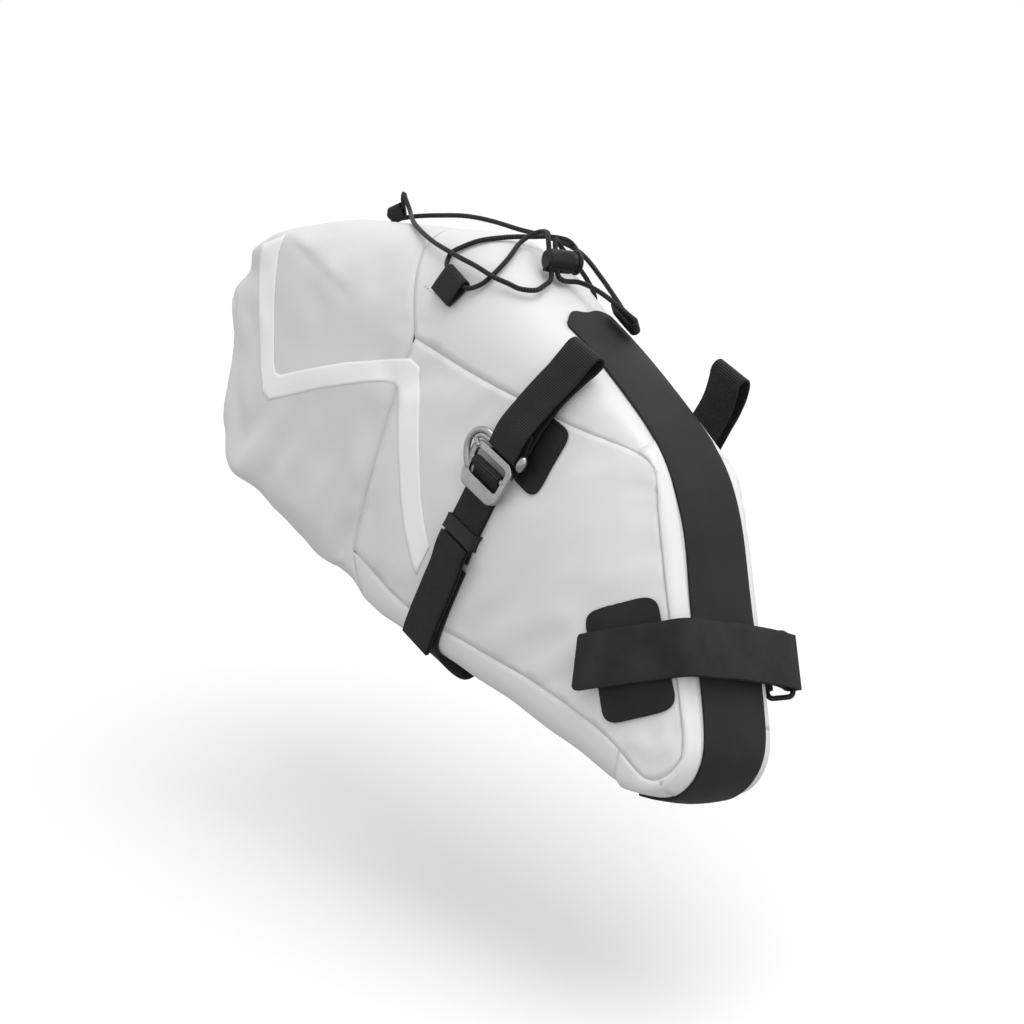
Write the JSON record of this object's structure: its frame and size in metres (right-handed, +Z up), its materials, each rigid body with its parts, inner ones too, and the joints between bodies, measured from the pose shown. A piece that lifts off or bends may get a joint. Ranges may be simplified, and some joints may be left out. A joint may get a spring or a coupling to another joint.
{
  "type": "saddle bag",
  "caption": "Tapered roll-closure saddle bag with side webbing and hooks for the saddle rails and a hook-and-loop strap for the seat post.",
  "frame": {"origin": "middle of the front strip's outer face, where the seat post bears, at the height of the post strap", "axes": "+X towards the front of the bicycle, +Y to its left, +Z up along the seat post"},
  "size_m": [0.3804, 0.1357, 0.4109],
  "materials": {
    "body_fabric": "coated ripstop, pale grey",
    "sleeve_fabric": "smooth coated fabric, pale grey",
    "grip_rubber": "matt black",
    "stiffener_sheet": "plain sheet",
    "patch_laminate": "matt black laminate",
    "webbing": "ribbed black weave",
    "hook_aluminium": "tumbled, satin",
    "keeper_rubber": "matt black",
    "hook_and_loop": "napped black",
    "moulded_plastic": "black",
    "spring_steel": "bright wire",
    "cord": "braided black"
  },
  "bodies": {
    "bag": {"right_side_panel": "body_fabric", "left_side_panel": "body_fabric", "top_panel": "body_fabric", "base_panel": "body_fabric", "rear_sleeve": "sleeve_fabric", "grip_strip": "grip_rubber", "right_stiffener": "stiffener_sheet", "left_stiffener": "stiffener_sheet", "base_stiffener": "stiffener_sheet", "right_strap_patch": "patch_laminate", "left_strap_patch": "patch_laminate", "right_rail_patch": "patch_laminate", "left_rail_patch": "patch_laminate", "right_rail_webbing": "webbing", "left_rail_webbing": "webbing", "belly_strap": "webbing", "post_strap": "hook_and_loop", "ring_anchor": "webbing", "right_cord_tab": "webbing", "left_cord_tab": "webbing", "rear_cord_tab": "webbing", "front_cord_tab": "webbing", "shock_cord": "cord", "lock_barrel": "moulded_plastic", "lock_spring": "spring_steel", "closure_upper_webbing": "webbing", "closure_lower_webbing": "webbing", "closure_patch": "patch_laminate"},
    "right_hook_group": {"right_hook": "hook_aluminium", "right_adjuster_webbing": "webbing"},
    "left_hook_group": {"left_hook": "hook_aluminium", "left_adjuster_webbing": "webbing"},
    "right_keeper_group": {"right_keeper": "keeper_rubber"},
    "left_keeper_group": {"left_keeper": "keeper_rubber"},
    "lock_button_group": {"lock_button": "moulded_plastic"},
    "ring": {"strap_ring": "moulded_plastic"},
    "strap_tail": {"post_strap_tail": "hook_and_loop"},
    "roll": {"roll_closure": "sleeve_fabric", "roll_batten": "stiffener_sheet", "closure_rear_webbing": "webbing", "closure_hook": "hook_aluminium"}
  },
  "joints": [
    {"name": "right_hook_tilt", "type": "hinge", "parent": "bag", "child": "right_hook_group", "pos_m": [-0.0953, -0.06128, 0.1287], "axis": [-0.7071, 0, 0.7071], "range_deg": [0, 14]},
    {"name": "right_keeper_slide", "type": "slide", "parent": "right_hook_group", "child": "right_keeper_group", "axis": [0.7071, 0, 0.7071], "range_m": [0, 0.006]},
    {"name": "left_hook_tilt", "type": "hinge", "parent": "bag", "child": "left_hook_group", "pos_m": [-0.0953, 0.06128, 0.1287], "axis": [0.7071, 0, -0.7071], "range_deg": [0, 14]},
    {"name": "left_keeper_slide", "type": "slide", "parent": "left_hook_group", "child": "left_keeper_group", "axis": [0.7071, 0, 0.7071], "range_m": [0, 0.006]},
    {"name": "lock_press", "type": "slide", "parent": "bag", "child": "lock_button_group", "axis": [-0.2588, -0.9659, 0], "range_m": [0, 0.003], "stiffness_N_per_m": 800, "springref_m": -0.002},
    {"name": "ring_swing", "type": "hinge", "parent": "bag", "child": "ring", "pos_m": [-0.01, 0.0426, 0], "axis": [0, 0, 1], "range_deg": [-6, 6]},
    {"name": "strap_peel", "type": "hinge", "parent": "bag", "child": "strap_tail", "pos_m": [0.002, 0.054, 0], "axis": [0, 0, 1], "range_deg": [0, 100]},
    {"name": "roll_open", "type": "slide", "parent": "bag", "child": "roll", "axis": [-1, 0, 0], "range_m": [0, 0.04]}
  ]
}
